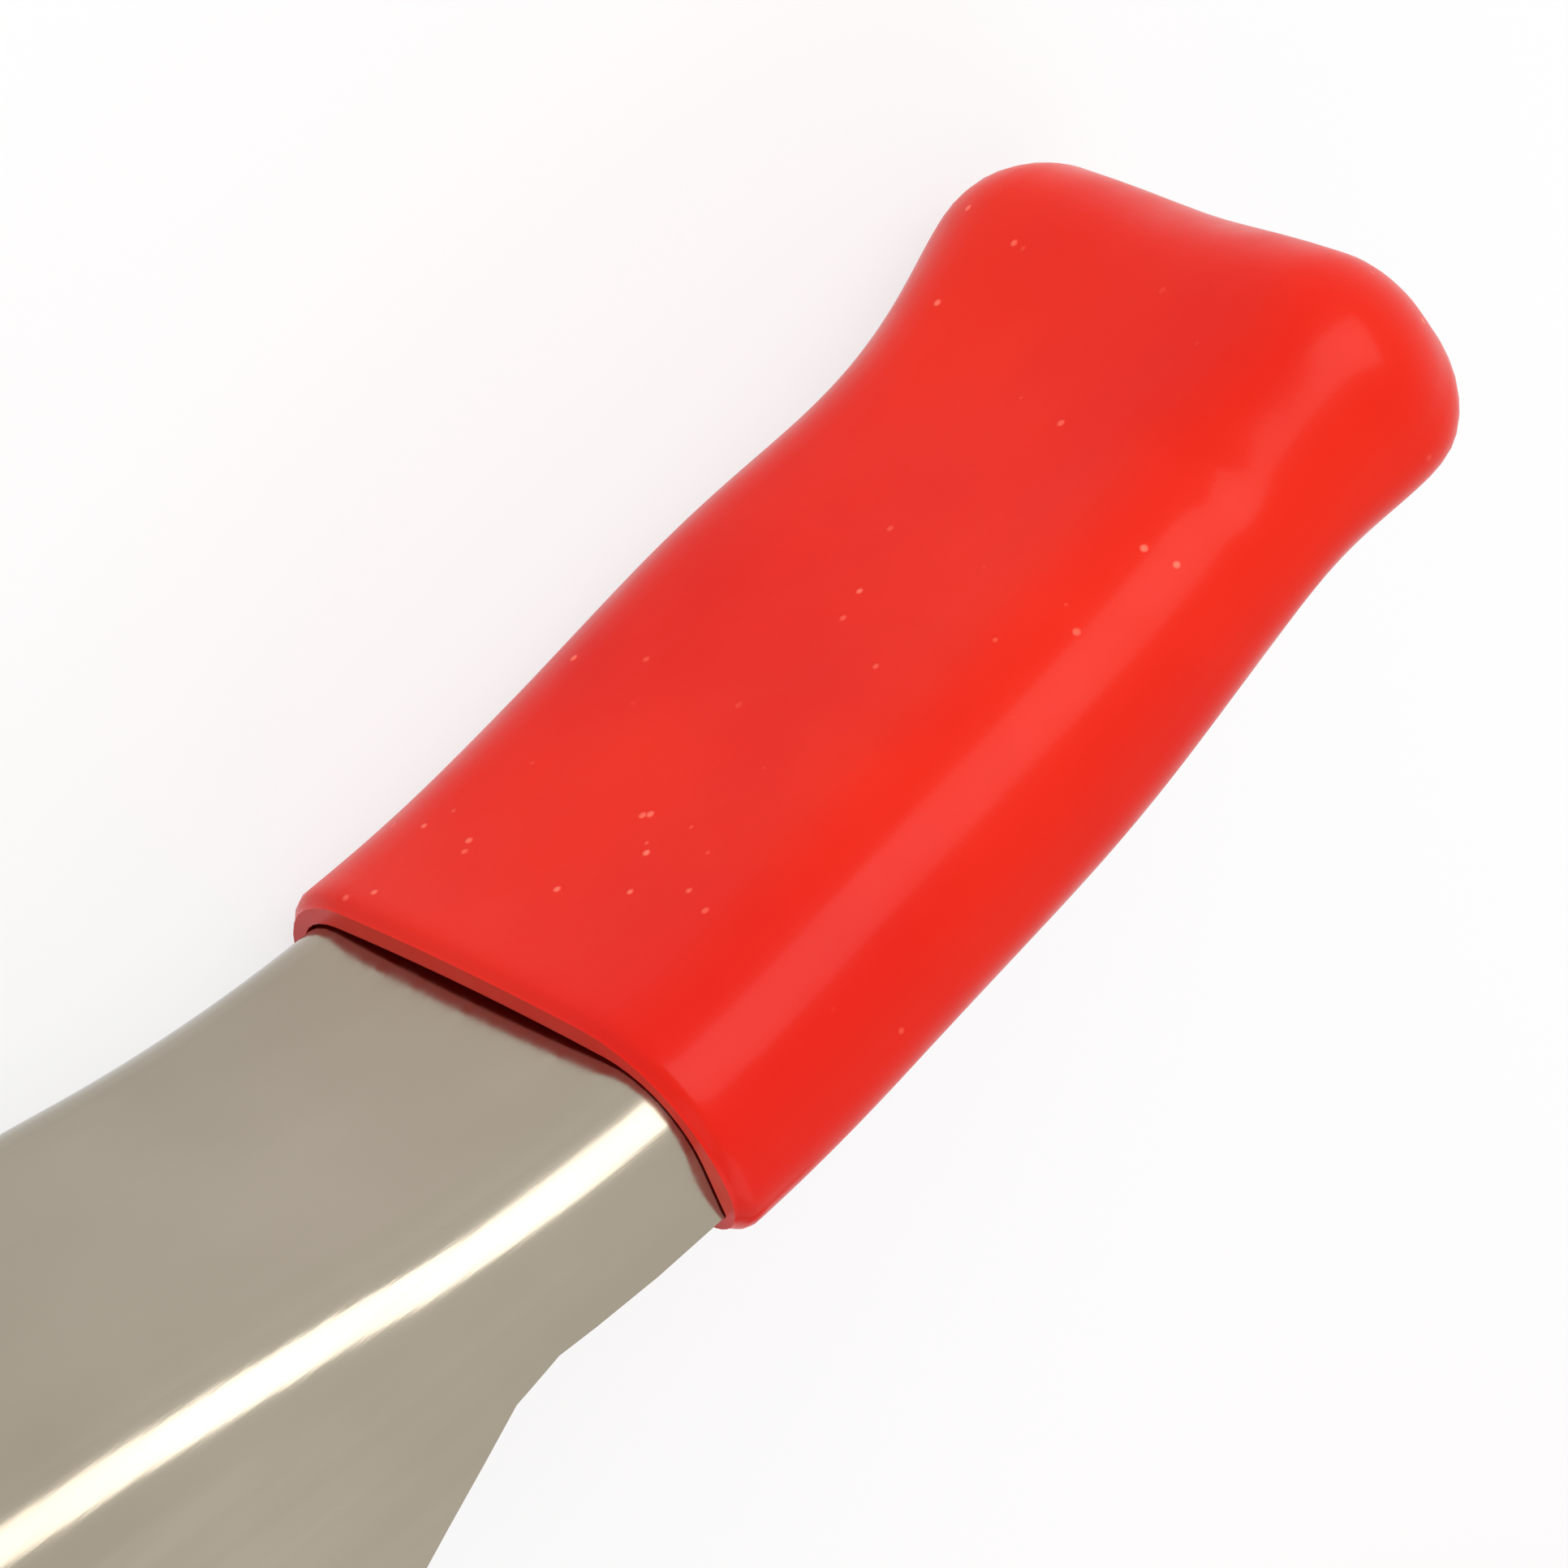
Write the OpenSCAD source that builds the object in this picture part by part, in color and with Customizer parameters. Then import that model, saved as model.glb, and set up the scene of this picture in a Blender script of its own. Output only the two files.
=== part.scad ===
// Spring loaded locking kitchen tongs with slip-on red sleeves over the tips.
// They lie on their side: the hinge axis is vertical, the tips point along +X
// and the arms stand open, each turned away from the middle plane y = 0.

/* [Arms] */
// Thickness of the steel sheet
sheet = 0.9; // [0.7:0.1:1.1]
// Outside width of both channels
arm_width = 24; // [20:0.5:28]
// Outside radius of the bend between web and flange
bend_radius = 3; // [2.2:0.1:4]
// Radius of the long outward bow of the arms
bow_radius = 215; // [195:1:240]
// Distance from the hinge to the middle of the bow
bow_middle = 82; // [79:0.5:86]
// Slope of the arm where the bow ends, in degrees
neck_slope = 22; // [20:0.5:24]
// Radius of the concave neck behind the sleeve
neck_radius = 63; // [52:1:76]
// Angle through which the tip curls outwards along the sleeve
tip_curl = 6; // [3:0.5:8]
// Angle that each arm opens from the middle plane
open_angle = 12; // [10:0.5:14]

/* [Flanges] */
// Depth of the flanges under the sleeve
tip_depth = 6.2; // [5:0.1:7.5]
// Depth of the flanges along the handle
grip_depth = 15; // [12:0.5:17]
// Distance from the sleeve's mouth to where the flanges start to widen
flare_start = 10.5; // [8:0.5:13]
// Length over which the flanges widen
flare_length = 11; // [9:0.5:16]

/* [Sleeves] */
// Length of the red sleeve along the arm
sleeve_length = 44; // [38:1:53]
// Wall of the sleeve
sleeve_wall = 1.3; // [1:0.1:1.6]
// Thickness of the sleeve's blunt end
end_wall = 3.2; // [2.8:0.1:4]
// Play between the sleeve and what is in it
sleeve_play = 0.12; // [0.05:0.01:0.2]
// Length of the sleeve that lies on the curved neck
sleeve_on_neck = 8; // [5:0.5:10]
// Number of grip grooves across the sole
groove_count = 7; // [5:1:9]
// Depth of the grip grooves
groove_depth = 0.5; // [0.3:0.05:0.7]

/* [Hinge] */
// Diameter of the hinge pin
pin_d = 4; // [3.5:0.1:4.8]
// Radial running clearance on the pin
pin_play = 0.06; // [0.03:0.01:0.1]
// Gap between parts that slide past each other
side_gap = 0.2; // [0.1:0.05:0.3]
// Radius of the rounded ears round the pin
ear_radius = 9; // [7.8:0.1:9.6]
// Diameter of the pin's flat head
head_d = 9; // [8:0.5:10]

/* [Springs] */
// Diameter of the spring wire
wire_d = 1.4; // [1.1:0.1:1.5]
// Whole turns in each coil
coil_turns = 4; // [3:1:4]
// Distance from the hinge to the end of a spring leg
leg_reach = 27; // [22:1:30]

/* [Lock] */
// Travel of the lock slider
lock_travel = 8; // [7:0.5:9]
// Distance from the hinge to the lock bar when it is locked
lock_reach = 28; // [25:0.5:31]
// Diameter of the lock bar
bar_d = 2.4; // [2:0.1:2.8]
// Thickness of the slider plate
slider_thickness = 2; // [1.6:0.1:2.4]
// Height of the slider plate round the pin
slider_height = 8.4; // [8:0.1:8.8]
// Thickness of the hooked finger under the lock slot
finger = 2.5; // [2:0.1:2.9]

/* [Pull tab] */
// Radius of the hole that the tongs hang by
eye_radius = 4.5; // [3.5:0.1:5.5]
// Thickness of the pull tab
tab_thickness = 7; // [6:0.5:9]
// Distance from the hinge to the middle of the hanging hole
tab_reach = 31; // [29:0.5:36]

/* [Hidden] */
$fn = 64;
deg = 180 / PI;

steel = [0.72, 0.71, 0.69];
red = [0.86, 0.07, 0.03];
nylon = [0.85, 0.83, 0.78];

half_width = arm_width / 2;
pin_r = pin_d / 2;

// Heights across the sleeve, measured from the arm's outer face.
sleeve_top = sleeve_wall + sleeve_play;
sole_in = tip_depth + sleeve_play;
sole_out = sole_in + sleeve_wall;
sleeve_half = half_width + sleeve_play + sleeve_wall;
sleeve_round = bend_radius + sleeve_top;
sole_round = 2.4;

// The path of the arm's outer face, with the arms closed: the bow, the neck, then the slight
// curl of the tip, whose sole touches the middle plane half way along.
closed_gap = 0.3;
tip_length = sleeve_length - sleeve_on_neck;
tip_slope = tip_curl / 2;
tip_radius = tip_length / tip_curl * deg;
tip_cy = closed_gap / 2 + sole_out + tip_radius;
bow_cy = tip_cy - (tip_radius - neck_radius) * cos(tip_slope)
    - (neck_radius + bow_radius) * cos(neck_slope);
bow_centre = [bow_middle, bow_cy];
bow_end = bow_centre + bow_radius * [sin(neck_slope), cos(neck_slope)];
neck_centre = bow_end + neck_radius * [sin(neck_slope), cos(neck_slope)];
neck_end = neck_centre - neck_radius * [sin(tip_slope), cos(tip_slope)];
tip_centre = neck_end + tip_radius * [sin(tip_slope), cos(tip_slope)];
end_gap = 0.3;
steel_tip = tip_length - end_wall - end_gap;

// The ends of the arms behind the hinge, and the half width of the arm that nests in the other.
tail = ear_radius;
inner_half = half_width - sheet - side_gap;

// The lock slot and its finger.
slot_play = 0.15;
slot_half = bar_d / 2 + slot_play;
finger_tip = lock_reach + bar_d / 2 + 2.3;
finger_bottom = slot_half + finger;
slot_end = lock_reach + lock_travel + 8;
slider_eye = bar_d / 2 + 2;

// The hinge stack.
head_thick = sleeve_half - half_width;
washer_thick = 0.6;
dome_height = head_thick - washer_thick;
sleeve_inner_r = pin_r + pin_play;
sleeve_outer_r = pin_r + 1.2;
coil_r = sleeve_outer_r + 0.25 + wire_d / 2;
spring_in = slider_thickness / 2 + side_gap;
spring_out = min(inner_half - sheet - side_gap, half_width - bend_radius + 0.5);
coil_rise = spring_out - spring_in - wire_d - 0.1;

// The pull tab.
tab_start = 13.5;
tab_wall = 4.6;
tongue_end = tab_start + 9;
tongue_half = slider_height / 2 - 1;
tab_half = tongue_half + 2.4;
rivet_r = 1;
rivet_x = [tab_start + 3, tab_start + 6.5];

// The row frame: the origin is under the middle of the open tongs.
open_tip = norm(path_at(sleeve_length) + [0, sleeve_top]) * cos(open_angle);
tab_end = tab_reach + eye_radius + tab_wall;
hinge_x = -(open_tip - tab_end) / 2;
hinge_z = sleeve_half;

// Heading of the path, and its height, at a distance x from the hinge.
function slope_at(x) =
    x < bow_end[0] ? asin((bow_middle - x) / bow_radius)
    : x < neck_end[0] ? asin((x - neck_centre[0]) / neck_radius)
    : asin((x - tip_centre[0]) / tip_radius);
function height_at(x) =
    x < bow_end[0] ? bow_cy + sqrt(pow(bow_radius, 2) - pow(x - bow_middle, 2))
    : x < neck_end[0] ? neck_centre[1] - sqrt(pow(neck_radius, 2) - pow(x - neck_centre[0], 2))
    : tip_centre[1] - sqrt(pow(tip_radius, 2) - pow(x - tip_centre[0], 2));

// Depth of the flange at x, and its lower edge.
mouth_x = neck_centre[0] - neck_radius * sin(tip_slope + sleeve_on_neck / neck_radius * deg);
flare_x = mouth_x - flare_start;
flare_end_x = flare_x - flare_length;
function depth_at(x) = lookup(x, [
    [flare_end_x - 16, grip_depth],
    [flare_end_x - 3, grip_depth - 0.5],
    [flare_end_x, grip_depth - 1.3],
    [flare_x - 1.2, tip_depth + 1.1],
    [flare_x + 1.2, tip_depth + 0.35],
    [mouth_x, tip_depth]
]);
function edge_at(x) = [x, height_at(x) - depth_at(x) / cos(slope_at(x))];

// A point of the path s millimetres from the sleeve's mouth towards the tip, and the heading there.
function path_heading(s) =
    -tip_slope + (s - sleeve_on_neck) / (s < sleeve_on_neck ? neck_radius : tip_radius) * deg;
function path_at(s) =
    (s < sleeve_on_neck ? neck_centre : tip_centre)
    + (s < sleeve_on_neck ? neck_radius : tip_radius) * [sin(path_heading(s)), -cos(path_heading(s))];

// A point n outwards from the path and z across it.
function lifted(s, n, z) = [
    path_at(s)[0] - n * sin(path_heading(s)),
    path_at(s)[1] + n * cos(path_heading(s)),
    z
];

function arc(centre, r, from, to, steps) =
    [for (i = [0:steps]) let (a = from + (to - from) * i / steps) centre + r * [cos(a), sin(a)]];

// --- frame helpers ------------------------------------------------------------------------

// Places what is modelled round the hinge, at mid width, in the row frame.
module at_hinge() {
    translate([hinge_x, 0, hinge_z]) children();
}

// The outer arm stands on the +Y side and the inner arm on the -Y side.
module on_outer_arm() {
    at_hinge() rotate([0, 0, open_angle]) children();
}

module on_inner_arm() {
    at_hinge() rotate([0, 0, -open_angle]) mirror([0, 1, 0]) children();
}

// --- arms ---------------------------------------------------------------------------------

// Section of a channel: x runs outwards from the outer face, y across the arm. The skin is a
// hair that is left off where one length of the arm laps into the next.
module channel_section(half, depth, skin = 0) {
    difference() {
        translate([-skin, 0]) rounded_slab(half - skin, depth, bend_radius - skin);
        translate([skin - sheet, 0])
            rounded_slab(half - sheet + skin, depth, bend_radius - sheet + skin);
    }
}

// A slab with two round corners on its outer side.
module rounded_slab(half, depth, r) {
    translate([-depth, -half]) square([depth - r, 2 * half]);
    translate([-depth, r - half]) square([depth, 2 * (half - r)]);
    for (side = [-1, 1])
        translate([-r, side * (half - r)]) circle(r);
}

// Channel of the bow, from behind the hinge to the neck.
module bow_channel(half) {
    start = 90 - neck_slope;
    sweep = neck_slope + asin((bow_middle + tail + 2) / bow_radius);
    translate(bow_centre) rotate([0, 0, start])
        rotate_extrude(angle = sweep, $fn = 256)
            translate([bow_radius, 0]) channel_section(half, grip_depth + 17);
}

// The neck laps a little way into the bow and into the tip.
module neck_channel(half) {
    lap = 0.5 / neck_radius * deg;
    translate(neck_centre) rotate([0, 0, -90 - neck_slope - lap])
        rotate_extrude(angle = neck_slope - tip_slope + 2 * lap, $fn = 256)
            translate([neck_radius, 0]) mirror([1, 0]) channel_section(half, grip_depth + 5, 0.01);
}

// Sweeps a section along the tip, from a start to a start plus a length.
module along_tip(start, length) {
    translate(tip_centre) rotate([0, 0, -90 - tip_slope + start / tip_radius * deg])
        rotate_extrude(angle = length / tip_radius * deg, $fn = 512)
            translate([tip_radius, 0]) mirror([1, 0]) children();
}

module tip_channel(half) {
    along_tip(0, steel_tip) channel_section(half, grip_depth);
}

// Outline of the flanges in side view, with the arms closed.
module flange_outline() {
    ear_blend_x = slot_end + 22;
    end_x = neck_end[0] + tip_length;
    stations = [end_x, end_x - 6, end_x - 12, end_x - 18, end_x - 24, end_x - 30, mouth_x + 4, mouth_x,
        flare_x + 4, flare_x + 1.2, flare_x, flare_x - 1.2, flare_x - 5, flare_end_x + 1, flare_end_x,
        flare_end_x - 1.5, flare_end_x - 3];
    polygon(concat(
        [[end_x, 60]],
        [for (x = stations) edge_at(x)],
        [for (i = [1:12]) edge_at(flare_end_x - 3 - (flare_end_x - 3 - ear_blend_x) * i / 12)],
        [[slot_end + 8, edge_at(slot_end + 8)[1] - 2.2], [slot_end, 3.4], [slot_end - 5, slot_half]],
        [[finger_tip, slot_half], [finger_tip, -slot_half - 0.8]],
        [[finger_tip - 1.7, -finger_bottom], [18, -finger_bottom], [12, -5.2]],
        arc([0, 0], ear_radius, -50, -180, 20),
        [[-tail, 0], [-tail, 60]]
    ));
}

// The slot in which the lock bar slides, open towards the tips.
module lock_slot() {
    translate([lock_reach, 0]) circle(slot_half);
    translate([lock_reach, -slot_half]) square([slot_end, 2 * slot_half]);
}

// The nose on the inner arm's ears that meets the outer arm's web when the tongs are open.
module stop_nose() {
    nose_r = ear_radius + 2;
    stop_gap = 0.15;
    web_r = bow_radius - sheet - stop_gap;
    far = norm(bow_centre);
    turn = acos((pow(nose_r, 2) + pow(far, 2) - pow(web_r, 2)) / (2 * nose_r * far));
    open_at = atan2(bow_centre[1], bow_centre[0]) - turn;
    closed_at = -(open_at + 2 * open_angle);
    polygon([[0, 0], ear_radius * [cos(closed_at - 28), sin(closed_at - 28)],
        nose_r * [cos(closed_at), sin(closed_at)],
        ear_radius * [cos(closed_at + 28), sin(closed_at + 28)]]);
}

// One arm in its own frame: the hinge at the origin, closed, on the +Y side.
module arm(inner) {
    half = inner ? inner_half : half_width;
    bore_r = inner ? pin_r + pin_play : pin_r;
    difference() {
        intersection() {
            union() {
                bow_channel(half);
                neck_channel(half);
                tip_channel(half);
            }
            linear_extrude(arm_width + 2, center = true)
                difference() {
                    union() {
                        flange_outline();
                        if (inner) stop_nose();
                    }
                    lock_slot();
                }
        }
        cylinder(h = arm_width + 2, r = bore_r, center = true);
    }
}

module outer_arm() {
    color(steel) on_outer_arm() arm(false);
}

module inner_arm() {
    color(steel) on_inner_arm() arm(true);
}

// --- tips ---------------------------------------------------------------------------------

// Block inside the channel that backs the sole of the sleeve.
module tip_core(half) {
    play = 0.15;
    core_half = half - sheet - play;
    core_depth = tip_depth - sheet - play;
    along_tip(2, steel_tip - 4) translate([-sheet - play, 0]) intersection() {
        rounded_slab(core_half, core_depth, bend_radius - sheet);
        translate([-core_depth, -core_half]) square([core_depth, 2 * core_half]);
    }
}

// The sleeve at s: its flanks draw in a little, and the blunt end has round corners and edges.
corner = end_wall + 1.8;
edge = end_wall + 0.8;
function corner_in(s, r) = r * (1 - sqrt(1 - pow(max(0, min(1, 1 - (sleeve_length - s) / r)), 2)));
function sleeve_half_at(s) = sleeve_half - 0.55 * sin(s / sleeve_length * 120) - corner_in(s, corner);
function end_share(s) = corner_in(s, edge) / edge;

// Round rectangle: half width, top, bottom, top corner radius and bottom corner radius.
function sleeve_ring(s, half, top, bottom, rt, rb, steps) = [
    for (p = concat(
        arc([top - rt, half - rt], rt, 0, 90, steps),
        arc([bottom + rb, half - rb], rb, 90, 180, steps),
        arc([bottom + rb, rb - half], rb, 180, 270, steps),
        arc([top - rt, rt - half], rt, 270, 360, steps)
    )) lifted(s, p[0], p[1])
];

function outside_ring(s) = sleeve_ring(s, sleeve_half_at(s), sleeve_top - edge * end_share(s),
    edge * end_share(s) - sole_out, sleeve_round * (1 - end_share(s)) + 0.2,
    sole_round * (1 - end_share(s)) + 0.2, 6);
function pocket_ring(s, half) = sleeve_ring(s, half + sleeve_play, sleeve_play, -sole_in,
    bend_radius + sleeve_play, 0.3, 6);

// The sleeve for an arm of that half width: its outer skin from mouth to end, then its pocket
// from the bottom back to the mouth.
module tip_sleeve(half) {
    sides = 28;
    from_end = sleeve_length - corner;
    skin = concat(
        [for (s = [0, 0.4, 3, 6, 9]) outside_ring(s)],
        [for (i = [1:6]) outside_ring(9 + (from_end - 9) * i / 6)],
        [for (i = [1:7]) outside_ring(from_end + corner * sin(i * 90 / 7))]
    );
    pocket_end = sleeve_length - end_wall;
    pocket = concat(
        [for (i = [5:-1:1]) pocket_ring(9 + (pocket_end - 9) * i / 5, half)],
        [for (s = [9, 6, 3, 0]) pocket_ring(s, half)]
    );
    last = len(skin) - 1;
    count = len(skin) + len(pocket);
    difference() {
        polyhedron([for (ring = concat(skin, pocket)) each ring], concat(
            [[for (j = [sides - 1:-1:0]) last * sides + j], [for (j = [0:sides - 1]) (last + 1) * sides + j]],
            [for (i = [0:count - 1], j = [0:sides - 1]) if (i != last)
                [i * sides + j, (i + 1) % count * sides + j,
                    (i + 1) % count * sides + (j + 1) % sides, i * sides + (j + 1) % sides]]
        ), convexity = 6);
        grip_grooves();
    }
}

// Shallow grooves across the sole.
module grip_grooves() {
    pitch = (tip_length - corner - 2) / groove_count;
    for (i = [0:groove_count - 1])
        let (s = sleeve_on_neck + 1 + pitch * (i + 0.5))
            translate(path_at(s)) rotate([0, 0, path_heading(s)])
                translate([-pitch * 0.2, groove_depth - sole_out - 1, 1.5 - half_width])
                    cube([pitch * 0.4, 1, arm_width - 3]);
}

module outer_tip_core() {
    color(nylon) on_outer_arm() tip_core(half_width);
}

module outer_tip_sleeve() {
    color(red) on_outer_arm() tip_sleeve(half_width);
}

module inner_tip_core() {
    color(nylon) on_inner_arm() tip_core(inner_half);
}

module inner_tip_sleeve() {
    color(red) on_inner_arm() tip_sleeve(inner_half);
}

// --- hinge --------------------------------------------------------------------------------

// Pin with a flat head below and a riveted dome above.
module pivot_pin() {
    color(steel) at_hinge() {
        translate([0, 0, -half_width]) cylinder(h = arm_width + washer_thick, r = pin_r);
        translate([0, 0, -half_width - head_thick]) cylinder(h = head_thick, d = head_d);
        translate([0, 0, half_width + washer_thick]) cylinder(h = dome_height, r1 = pin_r + 1.1, r2 = pin_r);
    }
}

module pivot_washer() {
    color(steel) at_hinge() translate([0, 0, half_width]) difference() {
        cylinder(h = washer_thick, d = head_d);
        translate([0, 0, -1]) cylinder(h = washer_thick + 2, r = pin_r);
    }
}

// Sleeve on the pin that carries a spring coil and keeps the slider in the middle.
module spring_sleeve() {
    length = inner_half - sheet - spring_in;
    translate([0, 0, spring_in - side_gap / 2]) difference() {
        cylinder(h = length, r = sleeve_outer_r);
        translate([0, 0, -1]) cylinder(h = length + 2, r = sleeve_inner_r);
    }
}

module upper_spring_sleeve() {
    color(nylon) at_hinge() spring_sleeve();
}

module lower_spring_sleeve() {
    color(nylon) at_hinge() mirror([0, 0, 1]) spring_sleeve();
}

// --- springs ------------------------------------------------------------------------------

// A leg leaves the coil at this angle, so that its end lies just inside the open arm's web.
leg_gap = 0.05;
leg_far = norm([leg_reach, coil_r]);
web_r = bow_radius - sheet - wire_d / 2 - leg_gap;
leg_angle = open_angle + atan2(bow_centre[1], bow_centre[0]) - atan(coil_r / leg_reach)
    + acos((pow(leg_far, 2) + pow(norm(bow_centre), 2) - pow(web_r, 2)) / (2 * leg_far * norm(bow_centre)));

// The wire runs from the inner arm's leg, clockwise round the pin, to the outer arm's leg.
wire_sides = 8;
coil_steps = 56;
coil_sweep = 360 * coil_turns - 180 - 2 * leg_angle;
function wire_ring(turn, out, along, rise) = [for (j = [0:wire_sides - 1])
    let (r = coil_r + wire_d / 2 * cos((j + 0.5) * 360 / wire_sides),
        z = spring_in + wire_d / 2 + 0.05 + rise + wire_d / 2 * sin((j + 0.5) * 360 / wire_sides))
        [r * cos(turn) + along * sin(turn) * out, r * sin(turn) - along * cos(turn) * out, z]];

module spring() {
    start = -leg_angle - 90;
    rings = concat(
        [wire_ring(start, -1, leg_reach, 0)],
        [for (i = [0:coil_steps]) let (t = i / coil_steps)
            wire_ring(start - coil_sweep * t, 0, 0, coil_rise * t)],
        [wire_ring(start - coil_sweep, 1, leg_reach, coil_rise)]
    );
    n = len(rings);
    polyhedron([for (ring = rings) each ring], concat(
        [[for (j = [0:wire_sides - 1]) j], [for (j = [wire_sides - 1:-1:0]) (n - 1) * wire_sides + j]],
        [for (i = [0:n - 2], j = [0:wire_sides - 1])
            [i * wire_sides + j, (i + 1) * wire_sides + j,
                (i + 1) * wire_sides + (j + 1) % wire_sides, i * wire_sides + (j + 1) % wire_sides]]
    ), convexity = 12);
}

module upper_spring() {
    color(steel) at_hinge() spring();
}

module lower_spring() {
    color(steel) at_hinge() mirror([0, 0, 1]) spring();
}

// --- lock ---------------------------------------------------------------------------------

// The slider's plate: the tongue in the pull tab, the slot round the pin, the eye round the bar.
module slider_outline() {
    slot_r = pin_r + 0.1;
    bar_x = lock_reach + lock_travel;
    wide_from = -slot_r - 3;
    difference() {
        polygon(concat(
            [[-tongue_end, -tongue_half], [wide_from, -tongue_half], [wide_from, -slider_height / 2]],
            [[lock_travel + 4.5, -slider_height / 2], [bar_x - 3, -slider_eye]],
            arc([bar_x, 0], slider_eye, -90, 90, 16),
            [[bar_x - 3, slider_eye], [lock_travel + 4.5, slider_height / 2]],
            [[wide_from, slider_height / 2], [wide_from, tongue_half], [-tongue_end, tongue_half]]
        ));
        for (x = [0, lock_travel]) translate([x, 0]) circle(slot_r);
        translate([0, -slot_r]) square([lock_travel, 2 * slot_r]);
        translate([bar_x, 0]) circle(bar_d / 2);
        for (x = rivet_x) translate([-x, 0]) circle(rivet_r);
    }
}

module lock_slider() {
    color(steel) at_hinge() linear_extrude(slider_thickness, center = true) slider_outline();
}

module lock_bar() {
    color(steel) at_hinge() translate([lock_reach + lock_travel, 0, 0])
        cylinder(h = arm_width - 0.4, d = bar_d, center = true);
}

module pull_tab() {
    tongue_play = 0.1;
    color(red) at_hinge() difference() {
        union() {
            translate([-tab_reach, 0, 0])
                cylinder(h = tab_thickness, r = eye_radius + tab_wall, center = true);
            linear_extrude(tab_thickness, center = true)
                polygon([[-tab_start, -tab_half], [-tab_start, tab_half], [4 - tab_reach, tab_half + 2.4],
                    [4 - tab_reach, -tab_half - 2.4]]);
        }
        translate([-tab_reach, 0, 0]) cylinder(h = tab_thickness + 2, r = eye_radius, center = true);
        translate([-tongue_end - tongue_play, -tongue_half - tongue_play, -slider_thickness / 2 - tongue_play])
            cube([tongue_end, 2 * (tongue_half + tongue_play), slider_thickness + 2 * tongue_play]);
        for (x = rivet_x) translate([-x, 0, 0]) cylinder(h = tab_thickness + 2, r = rivet_r, center = true);
    }
}

module tab_rivets() {
    head = 0.5;
    color(steel) at_hinge() for (x = rivet_x) translate([-x, 0, 0]) {
        cylinder(h = tab_thickness, r = rivet_r, center = true);
        for (side = [-1, 1])
            translate([0, 0, side * (tab_thickness + head) / 2])
                cylinder(h = head, r = rivet_r + 0.6, center = true);
    }
}

outer_arm();
outer_tip_core();
outer_tip_sleeve();
pivot_pin();
pivot_washer();
inner_arm();
inner_tip_core();
inner_tip_sleeve();
lower_spring_sleeve();
upper_spring_sleeve();
lower_spring();
upper_spring();
lock_slider();
lock_bar();
pull_tab();
tab_rivets();
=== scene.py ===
"""Spring loaded kitchen tongs: polished steel arms with glossy red slip-on sleeves over the tips."""

import math

import bmesh
import bpy
from mathutils import Matrix, Vector


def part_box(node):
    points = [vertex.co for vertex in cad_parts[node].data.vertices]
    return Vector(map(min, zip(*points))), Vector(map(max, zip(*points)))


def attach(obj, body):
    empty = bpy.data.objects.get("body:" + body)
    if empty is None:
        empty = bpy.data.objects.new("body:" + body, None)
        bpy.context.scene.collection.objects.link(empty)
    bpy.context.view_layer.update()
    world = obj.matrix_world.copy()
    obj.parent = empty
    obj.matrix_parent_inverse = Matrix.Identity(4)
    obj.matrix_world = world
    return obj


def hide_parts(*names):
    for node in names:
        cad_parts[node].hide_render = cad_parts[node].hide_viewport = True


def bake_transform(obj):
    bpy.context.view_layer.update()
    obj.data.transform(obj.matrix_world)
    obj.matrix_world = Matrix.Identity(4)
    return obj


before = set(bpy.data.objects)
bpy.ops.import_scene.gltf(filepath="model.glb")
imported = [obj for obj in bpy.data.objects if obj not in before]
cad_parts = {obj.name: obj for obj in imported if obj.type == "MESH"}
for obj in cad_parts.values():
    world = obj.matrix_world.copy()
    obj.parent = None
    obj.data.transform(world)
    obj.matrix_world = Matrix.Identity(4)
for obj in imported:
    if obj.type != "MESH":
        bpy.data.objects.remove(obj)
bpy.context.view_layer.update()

MM = 0.001

# --- sizes in millimetres, as the construction model has them ------------------------------

SHEET = 0.9
OUTER_HALF = 12.0
INNER_HALF = 10.9
BOW_RADIUS = 215.0
BOW_CENTRE = (82.0, -186.602)
NECK_RADIUS = 63.0
NECK_SLOPE = 22.0
TIP_SLOPE = 3.0
TIP_RADIUS = 343.775
STEEL_TIP = 32.5
OPEN = 12.0
TIP_DEPTH = 6.2
GRIP_DEPTH = 15.0
FLARE_START = 10.5
FLARE_LENGTH = 11.0
EAR = 9.0
LOCK_REACH = 28.0
SLOT_HALF = 1.35
SLOT_END = 44.0
FINGER_TIP = 31.5
FINGER_BOTTOM = 3.85
PIN_R = 2.0

SLEEVE_LENGTH = 44.0
SLEEVE_WALL = 1.3
SLEEVE_PLAY = 0.12
ON_NECK = 8.0
SLEEVE_HALF = 13.42
SLEEVE_TOP = SLEEVE_WALL + SLEEVE_PLAY
SOLE_IN = TIP_DEPTH + SLEEVE_PLAY
SOLE_OUT = SOLE_IN + SLEEVE_WALL
CORNER = 5.0
EDGE = 4.0
END_WALL = 3.2
GROOVES = 7

WIRE = 1.4
COIL_R = 4.15
COIL_SWEEP = 1172.33
COIL_RISE = 6.8
COIL_LOW = 1.95
LEG_REACH = 27.0
LEG_ANGLE = 43.8326

# --- sizes in millimetres that differ from the construction model's ------------------------

# The pressed corners are rounder here, and the inner arm's ears are smaller to clear them.
BEND = 3.6
INNER_EAR = 8.3

# The sleeve's corners at its top and at its sole, and how far its mouth stands off the steel.
TOP_CORNER = 5.2
SOLE_CORNER = 2.4
LEAST_CORNER = 0.2
LIP = 0.32
GROOVE_DEPTH = 0.5

# How deep an arm's channel is before its outline is cut, and how far the cutters reach each way.
BLANK_DEPTH = 30
CUTTER_REACH = 14

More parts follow.
